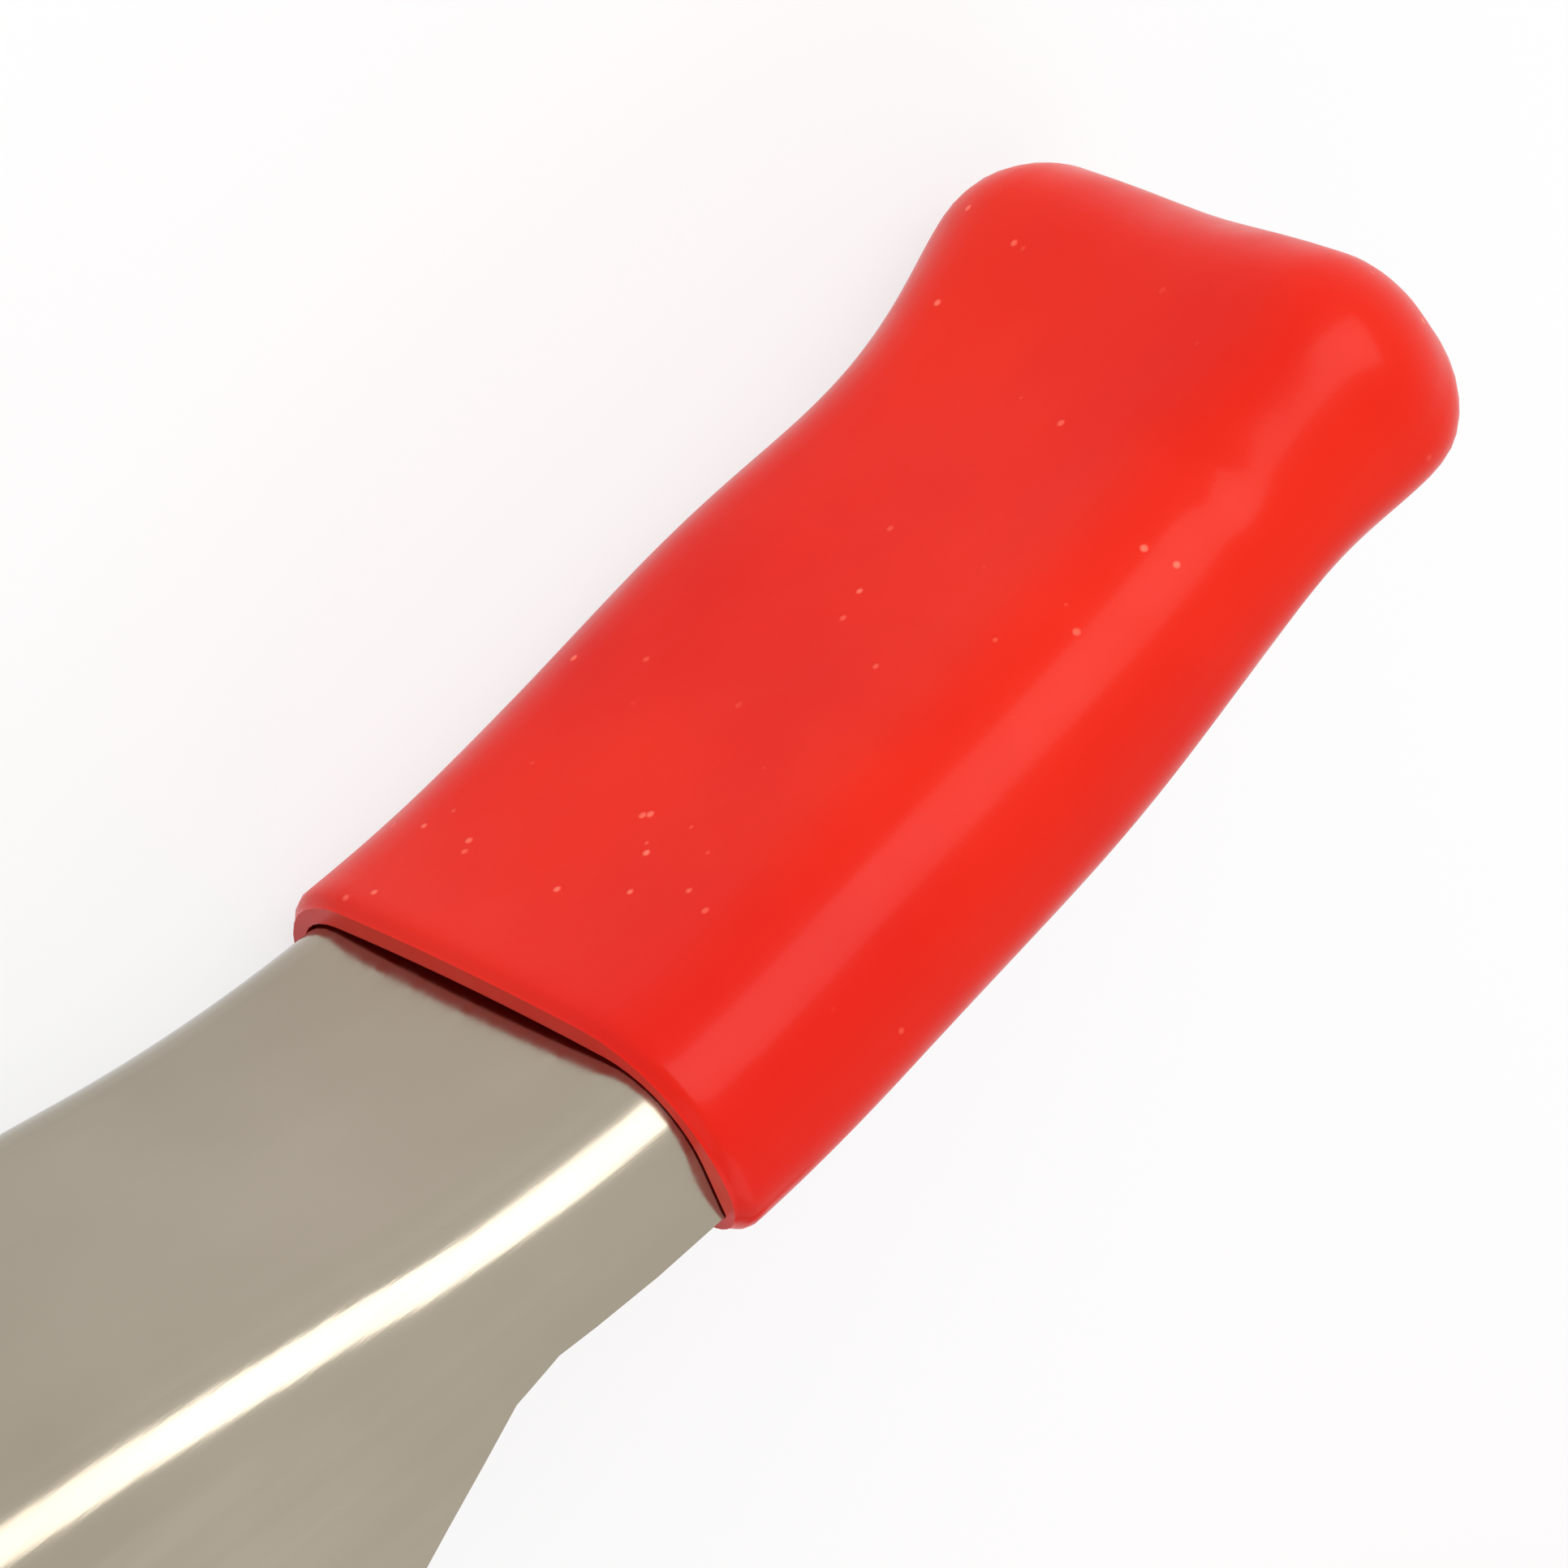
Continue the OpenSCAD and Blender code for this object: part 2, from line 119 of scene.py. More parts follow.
pin_low, pin_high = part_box("pivot_pin")
HINGE = Vector(((pin_low.x + pin_high.x) / 2, (pin_low.y + pin_high.y) / 2, (pin_low.z + pin_high.z) / 2))

ON_OUTER = Matrix.Translation(HINGE) @ Matrix.Rotation(math.radians(OPEN), 4, "Z") @ Matrix.Scale(MM, 4)
ON_INNER = (
    Matrix.Translation(HINGE)
    @ Matrix.Rotation(math.radians(-OPEN), 4, "Z")
    @ Matrix.Scale(-1, 4, (0, 1, 0))
    @ Matrix.Scale(MM, 4)
)
AT_HINGE = Matrix.Translation(HINGE) @ Matrix.Scale(MM, 4)


def sin(degrees):
    return math.sin(math.radians(degrees))


def cos(degrees):
    return math.cos(math.radians(degrees))


# --- the path of an arm's outer face, closed, on the +Y side -------------------------------


def arc_point(centre, radius, heading, outwards):
    """A point of an arc, from the way it heads; outwards is 1 for the bow and -1 for the neck."""
    return (centre[0] - outwards * radius * sin(heading), centre[1] + outwards * radius * cos(heading))


BOW_END = arc_point(BOW_CENTRE, BOW_RADIUS, -NECK_SLOPE, 1)
NECK_CENTRE = (BOW_END[0] + NECK_RADIUS * sin(NECK_SLOPE), BOW_END[1] + NECK_RADIUS * cos(NECK_SLOPE))
NECK_END = arc_point(NECK_CENTRE, NECK_RADIUS, -TIP_SLOPE, -1)
TIP_CENTRE = (NECK_END[0] + TIP_RADIUS * sin(TIP_SLOPE), NECK_END[1] + TIP_RADIUS * cos(TIP_SLOPE))


def sleeve_heading(s):
    """The path's heading s millimetres from the sleeve's mouth."""
    radius = NECK_RADIUS if s < ON_NECK else TIP_RADIUS
    return -TIP_SLOPE + math.degrees((s - ON_NECK) / radius)


def sleeve_point(s):
    if s < ON_NECK:
        return arc_point(NECK_CENTRE, NECK_RADIUS, sleeve_heading(s), -1)
    return arc_point(TIP_CENTRE, TIP_RADIUS, sleeve_heading(s), -1)


def standing(point, heading):
    """A frame at a point of the path: x along it, y outwards, z across the arm."""
    return Matrix.Translation((point[0], point[1], 0)) @ Matrix.Rotation(math.radians(heading), 4, "Z")


def height_at(x):
    if x < BOW_END[0]:
        return BOW_CENTRE[1] + math.sqrt(BOW_RADIUS**2 - (x - BOW_CENTRE[0]) ** 2)
    if x < NECK_END[0]:
        return NECK_CENTRE[1] - math.sqrt(NECK_RADIUS**2 - (x - NECK_CENTRE[0]) ** 2)
    return TIP_CENTRE[1] - math.sqrt(TIP_RADIUS**2 - (x - TIP_CENTRE[0]) ** 2)


def slope_at(x):
    step = 0.01
    return math.atan2(height_at(x + step) - height_at(x - step), 2 * step)


# --- mesh helpers --------------------------------------------------------------------------


def finish_mesh(bm, name, matrix, sharp=35):
    """Turns a bmesh in millimetres into an object in metres, with its place in its mesh."""
    bmesh.ops.transform(bm, matrix=matrix, verts=bm.verts)
    bmesh.ops.remove_doubles(bm, verts=bm.verts, dist=1e-7)
    bmesh.ops.recalc_face_normals(bm, faces=bm.faces)
    mesh = bpy.data.meshes.new(name)
    bm.to_mesh(mesh)
    bm.free()
    mesh.shade_smooth()
    mesh.set_sharp_from_angle(angle=math.radians(sharp))
    piece = bpy.data.objects.new(name, mesh)
    bpy.context.scene.collection.objects.link(piece)
    return piece


def loop_of(bm, points):
    """A closed loop of edges through the points."""
    verts = [bm.verts.new(p) for p in points]
    return [bm.edges.new((a, b)) for a, b in zip(verts, verts[1:] + verts[:1], strict=True)]


def extrude_loop(bm, edges):
    """Extrudes a closed loop, and returns its new edges and its new vertices, in no set order."""
    grown = bmesh.ops.extrude_edge_only(bm, edges=edges)["geom"]
    new_edges = [g for g in grown if isinstance(g, bmesh.types.BMEdge)]
    new_verts = [g for g in grown if isinstance(g, bmesh.types.BMVert)]
    return new_edges, new_verts


def cap(bm, edges):
    bmesh.ops.contextual_create(bm, geom=edges)


def carve(piece, cutter, operation):
    """Cuts a piece with another, which is then removed."""
    change = piece.modifiers.new("cut", "BOOLEAN")
    change.operation, change.solver, change.object = operation, "EXACT", cutter
    shape = bpy.data.meshes.new_from_object(piece.evaluated_get(bpy.context.evaluated_depsgraph_get()))
    piece.modifiers.clear()
    piece.data = shape
    bpy.data.objects.remove(cutter)


def soft_edged(piece, width, segments, material):
    """Rounds a carved piece's sharp edges by a width in metres, and gives it its material."""
    piece.data.shade_smooth()
    piece.data.set_sharp_from_angle(angle=math.radians(35))
    soften = piece.modifiers.new("soft edges", "BEVEL")
    soften.width, soften.segments, soften.limit_method = width, segments, "ANGLE"
    soften.angle_limit, soften.harden_normals = math.radians(50), True
    piece.data.materials.clear()
    piece.data.materials.append(material)
    return piece


# --- arms ----------------------------------------------------------------------------------


def channel_loop(half, depth):
    """The section of a channel, y outwards from the outer face and z across."""
    turns = [90 * i / 8 for i in range(9)]
    outer = [(-depth, half)]
    outer += [(BEND * sin(t) - BEND, half - BEND + BEND * cos(t)) for t in turns]
    inner_r = BEND - SHEET
    inner = [(-depth, half - SHEET)]
    inner += [(inner_r * sin(t) - BEND, half - BEND + inner_r * cos(t)) for t in turns]
    there = outer + [(y, -z) for y, z in reversed(outer)]
    back = inner + [(y, -z) for y, z in reversed(inner)]
    return there + back[::-1]


def arm_stations():
    """Frames along the arm from behind the hinge to the end of the steel."""
    start = -math.degrees(math.asin((-EAR - 2 - BOW_CENTRE[0]) / BOW_RADIUS))
    bow = [start + (-NECK_SLOPE - start) * i / 90 for i in range(90)]
    neck = [-NECK_SLOPE + (NECK_SLOPE - TIP_SLOPE) * i / 20 for i in range(20)]
    steel_turn = math.degrees(STEEL_TIP / TIP_RADIUS)
    tip = [-TIP_SLOPE + steel_turn * i / 12 for i in range(13)]
    return (
        [standing(arc_point(BOW_CENTRE, BOW_RADIUS, h, 1), h) for h in bow]
        + [standing(arc_point(NECK_CENTRE, NECK_RADIUS, h, -1), h) for h in neck]
        + [standing(arc_point(TIP_CENTRE, TIP_RADIUS, h, -1), h) for h in tip]
    )


MOUTH_X = sleeve_point(0)[0]
FLARE_X = MOUTH_X - FLARE_START
FLARE_END = FLARE_X - FLARE_LENGTH


def depth_at(x):
    """Depth of the flanges: shallow under the sleeve, widening behind it to the handle."""
    known = [
        (FLARE_END - 16, GRIP_DEPTH),
        (FLARE_END - 3, GRIP_DEPTH - 0.5),
        (FLARE_END, GRIP_DEPTH - 1.3),
        (FLARE_X - 1.2, TIP_DEPTH + 1.1),
        (FLARE_X + 1.2, TIP_DEPTH + 0.35),
        (MOUTH_X, TIP_DEPTH),
    ]
    if x <= known[0][0]:
        return known[0][1]
    for (x0, d0), (x1, d1) in zip(known, known[1:], strict=False):
        if x <= x1:
            return d0 + (d1 - d0) * (x - x0) / (x1 - x0)
    return TIP_DEPTH


def edge_at(x):
    return (x, height_at(x) - depth_at(x) / math.cos(slope_at(x)))


def flange_outline(ear):
    """The flanges in side view, with the hook of the lock slot and the round ears."""
    end_x = NECK_END[0] + SLEEVE_LENGTH
    blend_x = SLOT_END + 22
    grip_x = FLARE_END - 3
    outline = [(end_x, 60)] + [edge_at(end_x - (end_x - MOUTH_X) * i / 12) for i in range(13)]
    outline += [edge_at(FLARE_X + dx) for dx in (6, 3, 1.2, 0.4, -0.4, -1.2, -3.5, -6)]
    outline += [edge_at(FLARE_END + dx) for dx in (0, -1.5, -3)]
    outline += [edge_at(grip_x - (grip_x - blend_x) * i / 24) for i in range(1, 25)]
    outline += [(SLOT_END + 8, edge_at(SLOT_END + 8)[1] - 2.2), (SLOT_END, 3.4), (SLOT_END - 5, SLOT_HALF)]
    outline += [(LOCK_REACH + SLOT_HALF * cos(90 + 15 * i), SLOT_HALF * sin(90 + 15 * i)) for i in range(13)]
    outline += [(FINGER_TIP, -SLOT_HALF), (FINGER_TIP, -SLOT_HALF - 0.8), (FINGER_TIP - 1.7, -FINGER_BOTTOM)]
    outline += [(18, -FINGER_BOTTOM), (12, -5.2)]
    outline += [(ear * cos(-50 - 5 * i), ear * sin(-50 - 5 * i)) for i in range(26)]
    return outline + [(-EAR, 0), (-EAR, 60)]


def prism(name, points, low, high, matrix):
    bm = bmesh.new()
    face = bm.faces.new([bm.verts.new((x, y, low)) for x, y in points])
    grown = bmesh.ops.extrude_face_region(bm, geom=[face])["geom"]
    top = [g for g in grown if isinstance(g, bmesh.types.BMVert)]
    bmesh.ops.translate(bm, verts=top, vec=(0, 0, high - low))
    return finish_mesh(bm, name, matrix)


def arm(name, half, ear, matrix, metal):
    bm = bmesh.new()
    section = channel_loop(half, BLANK_DEPTH)
    stations = arm_stations()
    edges = loop_of(bm, [stations[0] @ Vector((0, y, z)) for y, z in section])
    cap(bm, edges)
    for here, there in zip(stations, stations[1:], strict=False):
        edges, verts = extrude_loop(bm, edges)
        bmesh.ops.transform(bm, matrix=there @ here.inverted(), verts=verts)
    cap(bm, edges)
    piece = finish_mesh(bm, name, matrix)
    outline = prism("outline", flange_outline(ear), -CUTTER_REACH, CUTTER_REACH, matrix)
    carve(piece, outline, "INTERSECT")
    circle = [(PIN_R * cos(7.5 * i), PIN_R * sin(7.5 * i)) for i in range(48)]
    carve(piece, prism("bore", circle, -CUTTER_REACH, CUTTER_REACH, matrix), "DIFFERENCE")
    return soft_edged(piece, 0.14 * MM, 2, metal)


# --- sleeves -------------------------------------------------------------------------------


def corner_in(s, r):
    """How far a round corner of radius r draws in at s, near the sleeve's end."""
    share = min(1, max(0, 1 - (SLEEVE_LENGTH - s) / r))
    return r * (1 - math.sqrt(1 - share * share))


def section_ring(half, top, bottom, top_r, bottom_r):
    """Points (y, z) round a sleeve section, as many for any size, so that rings join one to one."""
    steps = 9
    flank_cuts, flat_cuts = 7, 9
    corners = (
        (top - top_r, half - top_r, top_r, 0),
        (bottom + bottom_r, half - bottom_r, bottom_r, 90),
        (bottom + bottom_r, bottom_r - half, bottom_r, 180),
        (top - top_r, top_r - half, top_r, 270),
    )
    arcs = []
    for y, z, r, start in corners:
        turns = [start + 90 * i / steps for i in range(steps + 1)]
        arcs.append([(y + r * cos(turn), z + r * sin(turn)) for turn in turns])
    points = []
    for i, arc in enumerate(arcs):
        (y0, z0), (y1, z1) = arc[-1], arcs[(i + 1) % 4][0]
        cuts = flat_cuts if i % 2 else flank_cuts
        points += arc
        points += [(y0 + (y1 - y0) * k / cuts, z0 + (z1 - z0) * k / cuts) for k in range(1, cuts)]
    return points


def bump(x, width):
    """A smooth swell that is 1 at 0 and has all but died away at twice the width."""
    return math.exp(-((x / width) ** 2))


def lip_lift(s, y, z):
    """The mouth stands a little off the flat of the steel, most at mid width."""
    return LIP * bump(s, 3.2) * max(0, 1 - (z / 9.5) ** 2) if y > -1 else 0


def skin_ring(s):
    """The outside of the sleeve at s, with the soft waves of a stretched skin."""
    end = corner_in(s, EDGE) / EDGE
    half = SLEEVE_HALF - 0.58 * sin(s / SLEEVE_LENGTH * 120) - corner_in(s, CORNER)
    half += 0.3 * bump(s - 20, 7) - 0.4 * bump(s - 31, 6) + 0.5 * bump(s - 39.5, 4)
    top = SLEEVE_TOP - EDGE * end - 0.5 * bump(s - 31, 6) + 0.4 * bump(s - 40.5, 4)
    bottom = EDGE * end - SOLE_OUT + 0.4 * bump(s - 35, 4)
    rim = 0.35 * bump(s, 0.35)
    top_r = TOP_CORNER * (1 - end) + LEAST_CORNER
    bottom_r = SOLE_CORNER * (1 - end) + LEAST_CORNER
    points = section_ring(half - rim, top - rim, bottom + rim, top_r, bottom_r)
    groove = 0
    first, last = ON_NECK + 3, SLEEVE_LENGTH - CORNER - 1
    if first < s < last:
        wave = math.cos(2 * math.pi * (s - first) / (last - first) * GROOVES)
        groove = GROOVE_DEPTH * max(0, min(1, 0.5 - 1.6 * wave))
    shaped = []
    for y, z in points:
        if y < bottom + 0.05 and abs(z) < half - 3:
            y += groove
        dent = 0.3 * bump(s - 32.5, 1.3) * bump(z - half + 2.6, 2.4) if y > -1 else 0
        dent += 0.45 * bump(s - 43, 3) * bump(z, 4) if y > -3 else 0
        shaped.append((y + lip_lift(s, y, z) - dent, z))
    return shaped


def pocket_ring(s, half):
    """The inside of the sleeve at s, with a little play round the steel."""
    points = section_ring(half + SLEEVE_PLAY, SLEEVE_PLAY, -SOLE_IN, BEND + SLEEVE_PLAY, 0.3)
    return [(y + lip_lift(s, y, z), z) for y, z in points]


def sleeve(name, half, matrix, rubber):
    """The skin from the blunt end back to the mouth, over the rim and down the pocket."""
    from_end = SLEEVE_LENGTH - CORNER
    skin = [from_end + CORNER * sin(90 - 7.5 * i) for i in range(12)]
    skin += [from_end - (from_end - 2) * i / 96 for i in range(97)]
    skin += [1.2, 0.7, 0.4, 0.2, 0.08, 0]
    pocket_end = SLEEVE_LENGTH - END_WALL
    pocket = [0, 0.5, 1.2, 2.4, 4, 6, 8, 14, 20, 26, 32, 38, pocket_end]
    rings = [(s, skin_ring(s)) for s in skin] + [(s, pocket_ring(s, half)) for s in pocket]
    bm = bmesh.new()
    edges = None
    for s, points in rings:
        here = standing(sleeve_point(s), sleeve_heading(s))
        places = [here @ Vector((0, y, z)) for y, z in points]
        if edges is None:
            edges = loop_of(bm, places)
            cap(bm, edges)
            order = list(bm.verts)
            continue
        before = {v: i for i, v in enumerate(order)}
        edges, fresh = extrude_loop(bm, edges)
        order = [None] * len(places)
        for v in fresh:
            old = next(e.other_vert(v) for e in v.link_edges if e.other_vert(v) in before)
            order[before[old]] = v
        for v, place in zip(order, places, strict=True):
            v.co = place
    cap(bm, edges)
    piece = finish_mesh(bm, name, matrix, 60)
    piece.data.materials.append(rubber)
    return piece


# --- springs -------------------------------------------------------------------------------


def spring(name, wire, up):
    """A torsion spring: a leg, the turns, and a leg; up is 1 above the middle and -1 below it."""
    start = -LEG_ANGLE - 90
    bm = bmesh.new()
    turn = Matrix.Rotation(math.radians(start), 4, "Z")
    stand = Matrix.Translation((COIL_R, 0, COIL_LOW)) @ Matrix.Rotation(math.radians(90), 4, "X")
    ends = bmesh.ops.create_circle(bm, segments=16, radius=WIRE / 2, matrix=turn @ stand)["verts"]
    first = list({e for v in ends for e in v.link_edges})
    steps = 150
    spun = bmesh.ops.spin(
        bm,
        geom=first,
        cent=(0, 0, 0),
        axis=(0, 0, -1),
        angle=math.radians(COIL_SWEEP),
        steps=steps,
        dvec=(0, 0, COIL_RISE / steps),
    )["geom_last"]
    last = [g for g in spun if isinstance(g, bmesh.types.BMEdge)]
    for edges, way in ((first, start + 90), (last, start - COIL_SWEEP - 90)):
        half_leg = (LEG_REACH / 2 * cos(way), LEG_REACH / 2 * sin(way), 0)
        for _ in range(2):
            edges, verts = extrude_loop(bm, edges)
            bmesh.ops.translate(bm, verts=verts, vec=half_leg)
        cap(bm, edges)
    mirror = Matrix.Scale(up, 4, (0, 0, 1))
    piece = finish_mesh(bm, name, AT_HINGE @ mirror, 50)
    piece.data.materials.append(wire)
    return piece


# --- hinge and lock ------------------------------------------------------------------------


def lathe(name, profile, matrix, sharp=30):
    """A turned piece: profile points are (radius, height), from the axis to the axis."""
    bm = bmesh.new()
    verts = [bm.verts.new((r, 0, h)) for r, h in profile]
    edges = [bm.edges.new(pair) for pair in zip(verts, verts[1:], strict=False)]
    bmesh.ops.spin(
        bm, geom=verts + edges, cent=(0, 0, 0), axis=(0, 0, 1), angle=2 * math.pi, steps=64, use_merge=True
    )
    bmesh.ops.remove_doubles(bm, verts=bm.verts, dist=1e-4)
    return finish_mesh(bm, name, matrix, sharp)


def hinge_pin(metal):
    """Flat head with a rolled edge below, a riveted dome above."""
    head = [(0, -13.42), (3.9, -13.42), (4.3, -13.25), (4.5, -12.85)]
    head += [(4.5, -12.25), (4.3, -12.02), (2, -12.0)]
    dome = [(2, 12.6), (3.1, 12.6), (3.15, 12.8), (2.9, 13.1), (2.2, 13.34), (1.2, 13.42), (0, 13.42)]
    piece = lathe("hinge_pin", head + dome, AT_HINGE)
    piece.data.materials.append(metal)
    return piece


def hanging_tab(red):
    """A moulded tab with soft edges, from the tongue's socket out to the hanging eye."""
    reach, eye, rim, start, thick = 31.0, 4.5, 9.1, 13.5, 3.5
    outline = [(-start, -5.6), (-start, 5.6), (-20, 6.4), (-reach + 4.6, 7.86)]
    outline += [(-reach + rim * cos(a), rim * sin(a)) for a in range(62, 299, 4)]
    outline += [(-reach + 4.6, -7.86), (-20, -6.4)]
    piece = prism("hanging_tab", outline, -thick, thick, AT_HINGE)
    circle = [(-reach + eye * cos(5 * i), eye * sin(5 * i)) for i in range(72)]
    carve(piece, prism("eye", circle, -5, 5, AT_HINGE), "DIFFERENCE")
    socket = [(-22.6, -3.3), (-22.6, 3.3), (-12, 3.3), (-12, -3.3)]
    carve(piece, prism("socket", socket, -1.1, 1.1, AT_HINGE), "DIFFERENCE")
    return soft_edged(piece, 0.9 * MM, 4, red)


# --- materials -----------------------------------------------------------------------------


class Finish:
    """A material with a Principled shader, and a few words to add nodes to it."""

    def __init__(self, name, **sockets):
        self.material = bpy.data.materials.new(name)
        self.material.use_nodes = True
        self.nodes = self.material.node_tree.nodes
        self.links = self.material.node_tree.links
        self.shader = self.nodes["Principled BSDF"]
        for socket, value in sockets.items():
            self.shader.inputs[socket.replace("_", " ")].default_value = value
        self.place = self.nodes.new("ShaderNodeTexCoord").outputs["Object"]

    def add(self, kind, **inputs):
        node = self.nodes.new(kind)
        for socket, value in inputs.items():
            entry = node.inputs[socket.replace("_", " ")]
            if isinstance(value, bpy.types.NodeSocket):
                self.links.new(value, entry)
            else:
                entry.default_value = value
        return node

    def stretched(self, scale, turn=0.0):
        return self.add("ShaderNodeMapping", Vector=self.place, Scale=scale, Rotation=(0, 0, turn)).outputs[0]

    def noise(self, scale, detail=4.0, place=None, roughness=0.5):
        node = self.add("ShaderNodeTexNoise", Scale=scale, Detail=detail, Roughness=roughness)
        self.links.new(place or self.place, node.inputs["Vector"])
        return node.outputs["Fac"]

    def ramp(self, value, stops):
        node = self.add("ShaderNodeValToRGB", Fac=value)
        elements = node.color_ramp.elements
        for i, (at, colour) in enumerate(stops):
            stop = elements[i] if i < 2 else elements.new(at)
            stop.position, stop.color = at, (*colour, 1)
        return node.outputs["Color"]

    def level(self, value, low, high, start=0.0, end=1.0):
        node = self.add("ShaderNodeMapRange", Value=value)
        limits = {"From Min": start, "From Max": end, "To Min": low, "To Max": high}
        for socket, number in limits.items():
            node.inputs[socket].default_value = number
        return node.outputs[0]

    def relief(self, height, distance, strength=1.0, below=None):
        node = self.add("ShaderNodeBump", Height=height, Distance=distance, Strength=strength)
        if below is not None:
            self.links.new(below, node.inputs["Normal"])
        self.links.new(node.outputs[0], self.shader.inputs["Normal"])
        return node.outputs[0]

    def feed(self, socket, value):
        self.links.new(value, self.shader.inputs[socket])


def polished_steel():
    """Sheet polished along its length: a faint grain and soft clouds in the shine."""
    steel = Finish("polished steel", Metallic=1.0)
    cloud = steel.noise(55, 3)
    steel.feed("Base Color", steel.ramp(cloud, [(0.25, (0.35, 0.305, 0.235)), (0.75, (0.42, 0.375, 0.30))]))
    grain = steel.noise(900, 5, steel.stretched((0.06, 1, 1)), 0.6)
    steel.feed("Roughness", steel.level(grain, 0.13, 0.24, 0.3, 0.7))
    waves = steel.relief(steel.noise(38, 2), 0.0012, 0.18)
    steel.relief(grain, 0.00004, 0.35, waves)
    return steel.material


def wire_steel():
    wire = Finish("spring wire", Metallic=1.0)
    greys = [(0.3, (0.38, 0.38, 0.38)), (0.7, (0.5, 0.49, 0.48))]
    wire.feed("Base Color", wire.ramp(wire.noise(300, 3), greys))
    wire.feed("Roughness", wire.level(wire.noise(900, 3), 0.24, 0.4))
    wire.relief(wire.noise(1500, 2), 0.00003, 0.3)
    return wire.material


def glossy_red(name, waves):
    """Dipped vinyl: a deep red with a wet skin, soft waves, pinpricks and lint under the gloss."""
    red = Finish(name, IOR=1.5, Specular_IOR_Level=0.12, Coat_Weight=0.1, Coat_Roughness=0.14)
    body = red.ramp(red.noise(70, 3), [(0.3, (0.64, 0.006, 0.001)), (0.7, (0.72, 0.014, 0.001))])
    dots = red.add("ShaderNodeTexVoronoi", Vector=red.place, Scale=620.0).outputs["Distance"]
    speck = red.level(dots, 1.0, 0.0, 0.06, 0.12)
    blotch = red.level(red.noise(160, 2), 0.0, 1.0, 0.5, 0.62)
    rare = red.add("ShaderNodeMath")
    rare.operation = "MULTIPLY"
    red.links.new(speck, rare.inputs[0])
    red.links.new(blotch, rare.inputs[1])
    colour = red.nodes.new("ShaderNodeMix")
    colour.data_type = "RGBA"
    red.links.new(rare.outputs[0], colour.inputs[0])
    red.links.new(body, colour.inputs[6])
    colour.inputs[7].default_value = (0.95, 0.16, 0.10, 1)
    red.feed("Base Color", colour.outputs[2])
    red.feed("Roughness", red.level(red.noise(420, 4), 0.28, 0.38, 0.3, 0.7))
    soft = red.relief(red.noise(75, 2), 0.0012, waves)
    fine = red.relief(red.noise(1300, 3), 0.00003, 0.35, soft)
    red.relief(rare.outputs[0], 0.00005, 0.6, fine)
    return red.material


def natural_nylon():
    nylon = Finish("nylon", Subsurface_Weight=0.1)
    creams = [(0.3, (0.66, 0.63, 0.55)), (0.7, (0.76, 0.73, 0.66))]
    nylon.feed("Base Color", nylon.ramp(nylon.noise(120, 3), creams))
    nylon.feed("Roughness", nylon.level(nylon.noise(700, 3), 0.42, 0.56))
    nylon.relief(nylon.noise(1400, 3), 0.00003, 0.3)
    return nylon.material


# --- the object ----------------------------------------------------------------------------

steel = polished_steel()
wire = wire_steel()
sleeve_red = glossy_red("dipped red vinyl", 0.3)
tab_red = glossy_red("moulded red tab", 0.08)
nylon = natural_nylon()

for node, finish in (
    ("pivot_washer", steel),
    ("lock_slider", steel),
    ("lock_bar", steel),
    ("tab_rivets", steel),
    ("outer_tip_core", nylon),
    ("inner_tip_core", nylon),
    ("lower_spring_sleeve", nylon),
    ("upper_spring_sleeve", nylon),
):
    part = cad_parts[node]
    part.data.materials.clear()
    part.data.materials.append(finish)

for side, half, ear, matrix in (
    ("outer", OUTER_HALF, EAR, ON_OUTER),
    ("inner", INNER_HALF, INNER_EAR, ON_INNER),
):
    body = side + "_arm"
    bowed = arm(side + "_channel", half, ear, matrix, steel)
    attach(bowed, body)
    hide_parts(side + "_arm")
    boot = sleeve(side + "_sleeve", half, matrix, sleeve_red)
    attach(boot, body)
    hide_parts(side + "_tip_sleeve")

pin = hinge_pin(steel)
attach(pin, "outer_arm")
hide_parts("pivot_pin")

tab = hanging_tab(tab_red)
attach(tab, "lock")
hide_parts("pull_tab")

for place, up in (("upper", 1), ("lower", -1)):
    coil = spring(place + "_coil", wire, up)
    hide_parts(place + "_spring")
    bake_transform(coil)

# --- camera --------------------------------------------------------------------------------

# The camera's place from the sleeve's mouth, and its directions, along the arm there, outwards and up.
LOOK_FROM = Vector((-77.7, 175.0, 216.2)) * MM
LOOK_ALONG = Vector((0.269, -0.606, -0.749))
LOOK_RIGHT = Vector((0.673, -0.438, 0.596))
LOOK_UP = Vector((0.689, 0.665, -0.290))
AIM_RIGHT, AIM_UP = 0.04085, 0.02718

mouth = ON_OUTER @ Vector((*sleeve_point(0), 0))
lie = Matrix.Rotation(math.radians(OPEN - TIP_SLOPE), 3, "Z")
along = (lie @ (LOOK_ALONG + AIM_RIGHT * LOOK_RIGHT + AIM_UP * LOOK_UP)).normalized()
right = lie @ LOOK_RIGHT
right = (right - right.dot(along) * along).normalized()
up = right.cross(along)
camera = bpy.data.objects.new("camera", bpy.data.cameras.new("camera"))
bpy.context.scene.collection.objects.link(camera)
facing = Matrix((right, up, -along)).transposed().to_4x4()
camera.matrix_world = Matrix.Translation(mouth + lie @ LOOK_FROM) @ facing
camera.data.lens = 177.9
camera.data.sensor_width = 36
camera.data.clip_start, camera.data.clip_end = 0.01, 20
bpy.context.scene.camera = camera

# --- floor and light -----------------------------------------------------------------------


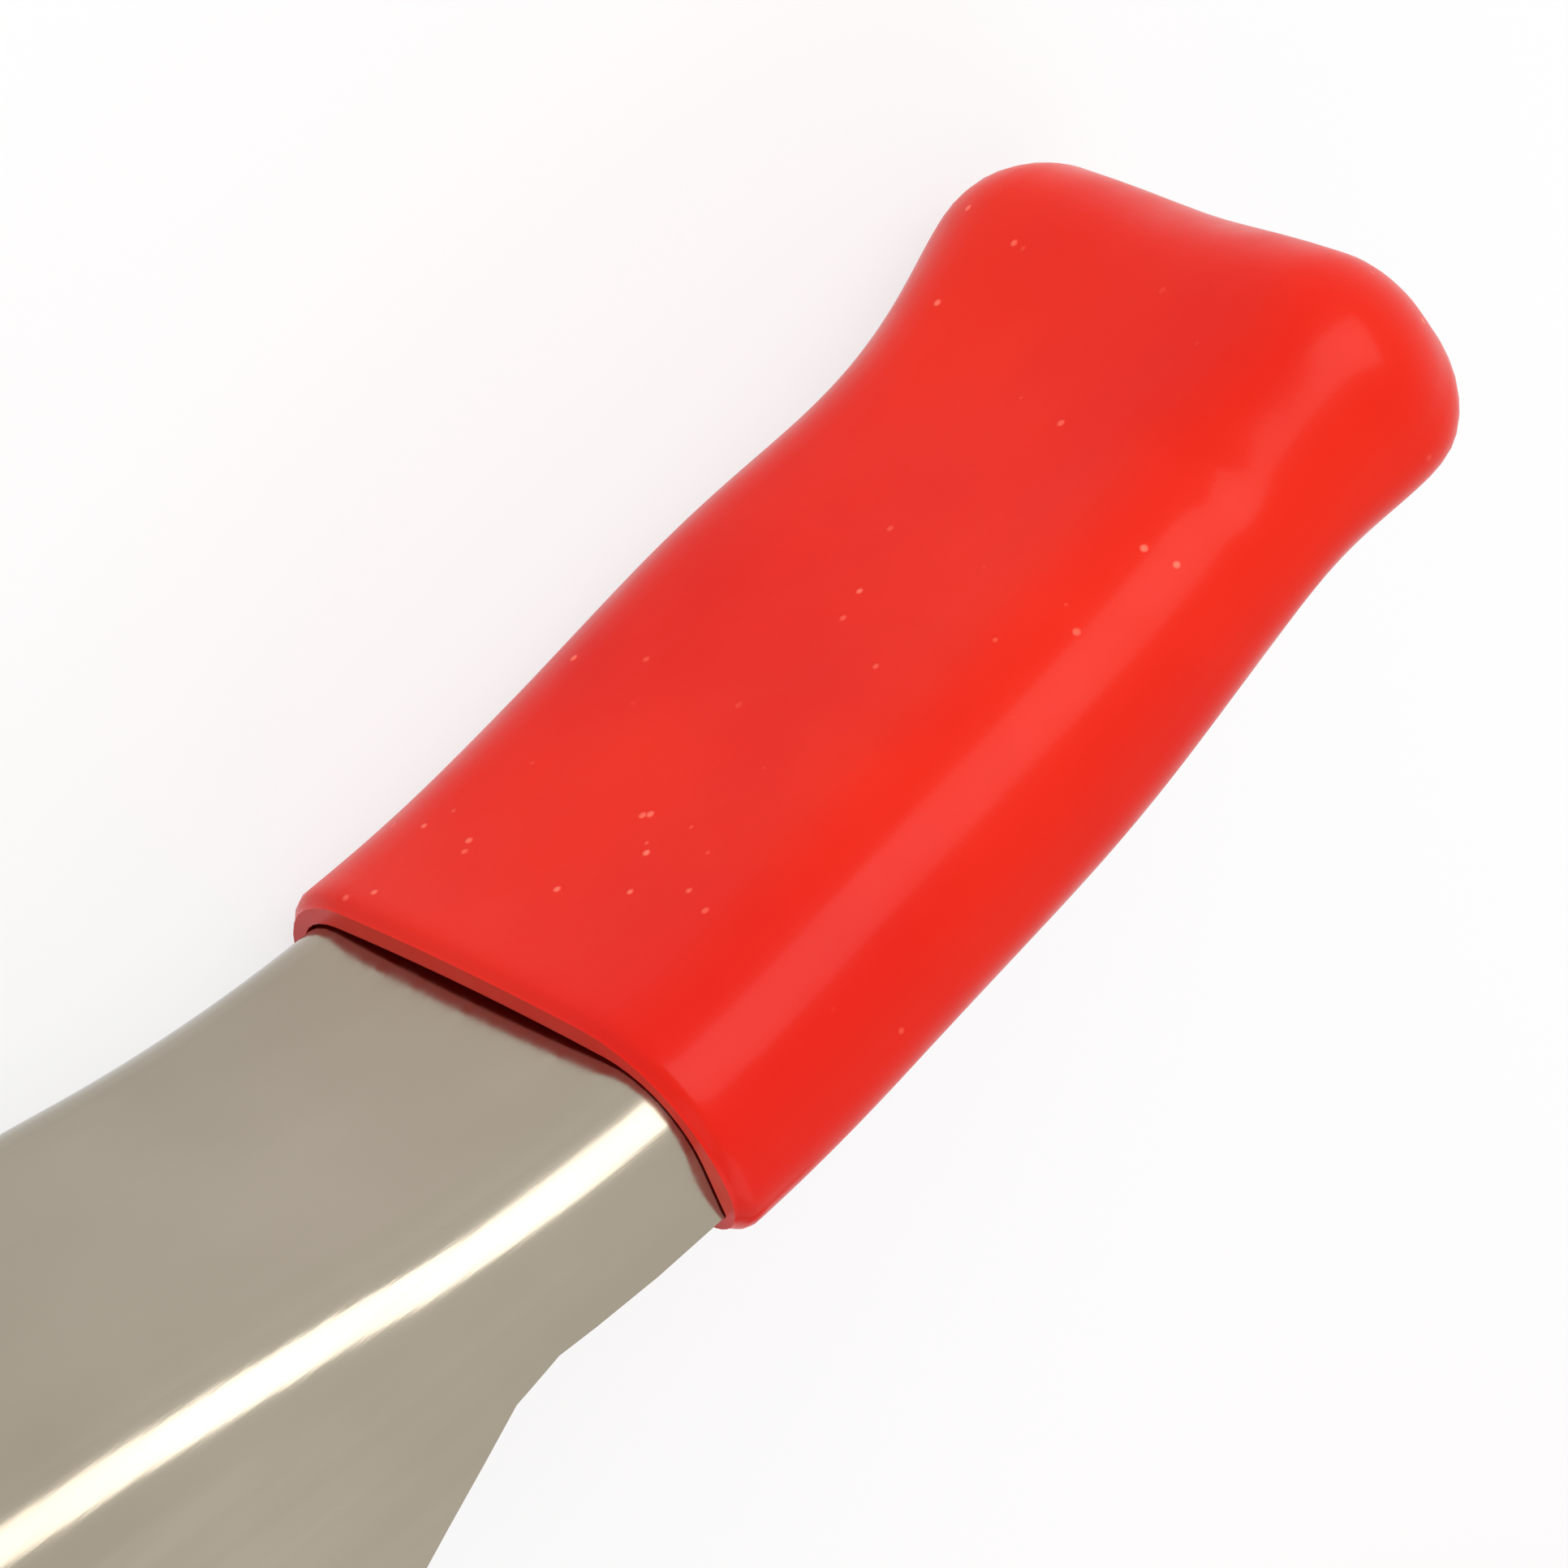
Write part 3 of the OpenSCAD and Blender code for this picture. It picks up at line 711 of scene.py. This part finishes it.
def looked_at(nodes, links):
    """1 on rays from the camera and on mirrored and refracted ones, and 0 on diffuse light."""
    path = nodes.new("ShaderNodeLightPath")
    total = path.outputs["Is Camera Ray"]
    for way in ("Is Glossy Ray", "Is Transmission Ray"):
        most = nodes.new("ShaderNodeMath")
        most.operation = "MAXIMUM"
        links.new(total, most.inputs[0])
        links.new(path.outputs[way], most.inputs[1])
        total = most.outputs[0]
    return total


def scaled(nodes, links, value, factor, base):
    """A value times a factor, plus a base."""
    line = nodes.new("ShaderNodeMath")
    line.operation = "MULTIPLY_ADD"
    links.new(value, line.inputs[0])
    line.inputs[1].default_value, line.inputs[2].default_value = factor, base
    return line.outputs[0]


def pale_floor():
    """A pale diffuse floor that keeps shadows, and shows nearly white where it is looked at."""
    floor = bpy.data.materials.new("floor")
    floor.use_nodes = True
    nodes, links = floor.node_tree.nodes, floor.node_tree.links
    diffuse = nodes["Principled BSDF"]
    diffuse.inputs["Base Color"].default_value = (0.85, 0.85, 0.85, 1)
    diffuse.inputs["Roughness"].default_value = 0.9
    diffuse.inputs["Specular IOR Level"].default_value = 0.1
    white = nodes.new("ShaderNodeEmission")
    mix = nodes.new("ShaderNodeMixShader")
    links.new(scaled(nodes, links, looked_at(nodes, links), 0.75, 0.0), mix.inputs[0])
    links.new(diffuse.outputs[0], mix.inputs[1])
    links.new(white.outputs[0], mix.inputs[2])
    links.new(mix.outputs[0], nodes["Material Output"].inputs["Surface"])
    return floor


bm = bmesh.new()
bmesh.ops.create_grid(bm, x_segments=1, y_segments=1, size=4)
ground = bpy.data.meshes.new("floor")
bm.to_mesh(ground)
bm.free()
floor = bpy.data.objects.new("floor", ground)
bpy.context.scene.collection.objects.link(floor)
ground.materials.append(pale_floor())
floor.location.z = -0.0002


def lamp(name, place, target, size, power):
    light = bpy.data.lights.new(name, "AREA")
    light.shape, light.size, light.size_y, light.energy = "RECTANGLE", size[0], size[1], power
    holder = bpy.data.objects.new(name, light)
    bpy.context.scene.collection.objects.link(holder)
    holder.location = place
    holder.rotation_euler = (Vector(target) - Vector(place)).to_track_quat("-Z", "Y").to_euler()
    return holder


lamp("edge softbox", (0.25, 0.62, 0.55), (0.08, 0.03, 0.01), (0.75, 0.55), 3.6)
lamp("top softbox", (-0.1, -0.55, 0.8), (0.05, 0, 0), (0.7, 0.6), 1.4)
lamp("back fill", (-0.7, 0.1, 0.5), (0, 0, 0), (0.5, 0.5), 0.5)

world = bpy.data.worlds.new("studio")
bpy.context.scene.world = world
world.use_nodes = True
sky = world.node_tree.nodes["Background"]
sky.inputs["Color"].default_value = (1, 1, 1, 1)
ways = (world.node_tree.nodes, world.node_tree.links)
world.node_tree.links.new(scaled(*ways, looked_at(*ways), 0.25, 0.75), sky.inputs["Strength"])
bpy.context.scene.view_settings.view_transform = "Standard"
